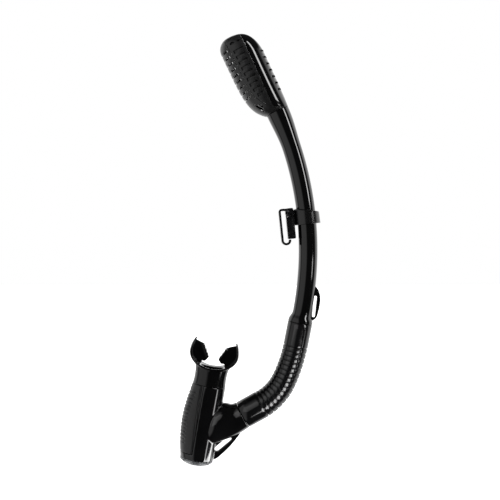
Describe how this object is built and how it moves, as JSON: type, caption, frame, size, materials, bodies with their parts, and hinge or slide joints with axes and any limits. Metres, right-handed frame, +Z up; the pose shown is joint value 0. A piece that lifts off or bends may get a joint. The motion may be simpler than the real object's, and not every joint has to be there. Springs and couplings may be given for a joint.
{
  "type": "dry snorkel tube",
  "caption": "Curved snorkel with a vented float-valve top, mask-strap keeper, ribbed flexible hose and angled purge chamber with a silicone mouthpiece.",
  "frame": {"origin": "middle of the keeper's mask-strap slot, on the part's plane of symmetry", "axes": "+Z up towards the vented top, +Y through the thickness (the strap runs along Y), +X towards the side of the barrel away from the mask"},
  "size_m": [0.1475, 0.042, 0.4508],
  "materials": {
    "satin_black": "satin moulded plastic",
    "gloss_black": "polished black plastic",
    "clip_black": "semi-gloss plastic",
    "frame_grey": "moulded plastic, unpolished",
    "float_white": "pale foam-filled plastic",
    "silicone_black": "glossy silicone",
    "seal_rubber": "soft seal rubber",
    "pin_steel": "stainless pin",
    "grip_rubber": "matte overmoulded rubber",
    "valve_silicone": "translucent silicone",
    "clear_cover": "clear polycarbonate"
  },
  "bodies": {
    "barrel": {"barrel": "gloss_black", "front_grille": "satin_black", "side_cowl": "satin_black", "spine_cover": "gloss_black", "valve_frame": "frame_grey", "lever_pin": "pin_steel", "head_o_ring": "seal_rubber", "corrugated_hose": "silicone_black"},
    "lever": {"valve_lever": "frame_grey", "seal_pad": "seal_rubber"},
    "float": {"float": "float_white", "float_cap": "float_white", "float_pin": "pin_steel"},
    "keeper": {"keeper_collar": "clip_black", "clip_block": "clip_black", "hook_pin": "pin_steel"},
    "hook": {"strap_hook": "clip_black"},
    "hose_end": {"swivel_coupling": "frame_grey", "swivel_ring": "pin_steel"},
    "mouth": {"purge_housing": "gloss_black", "grip_cover": "grip_rubber", "mouthpiece": "silicone_black", "purge_seat": "frame_grey", "purge_cover": "clear_cover"},
    "purge": {"purge_valve": "valve_silicone"}
  },
  "joints": [
    {"name": "valve_lever_hinge", "type": "hinge", "parent": "barrel", "child": "lever", "pos_m": [-0.03646, 0, 0.16231], "axis": [0, 1, 0], "range_deg": [0, 15.6]},
    {"name": "float_hinge", "type": "hinge", "parent": "lever", "child": "float", "pos_m": [-0.04184, 0, 0.15768], "axis": [0, 1, 0], "range_deg": [-15.6, 0]},
    {"name": "keeper_slide", "type": "hinge", "parent": "barrel", "child": "keeper", "pos_m": [-0.32005, 0, -0.0238], "axis": [0, -1, 0], "range_deg": [-8.5, 10]},
    {"name": "hook_hinge", "type": "hinge", "parent": "keeper", "child": "hook", "pos_m": [0.00313, 0, 0.01643], "axis": [0, 1, 0], "range_deg": [0, 35]},
    {"name": "hose_flex", "type": "hinge", "parent": "barrel", "child": "hose_end", "pos_m": [0.00063, 0, -0.15823], "axis": [0, 1, 0], "range_deg": [-35, 15], "stiffness_Nm_per_rad": 0.5, "springref_deg": 5.96, "deforming": ["corrugated_hose"]},
    {"name": "mouth_swivel", "type": "hinge", "parent": "hose_end", "child": "mouth", "pos_m": [-0.04324, 0, -0.1965], "axis": [0.8746, 0, 0.4848], "range_deg": [-60, 60]},
    {"name": "purge_lift", "type": "slide", "parent": "mouth", "child": "purge", "axis": [-0.1702, 0, -0.9854], "range_m": [0, 0.0015], "stiffness_N_per_m": 40, "springref_m": -0.0005}
  ],
  "couplings": [
    {"joint": "float_hinge", "follows": "valve_lever_hinge", "ratio": -1}
  ]
}
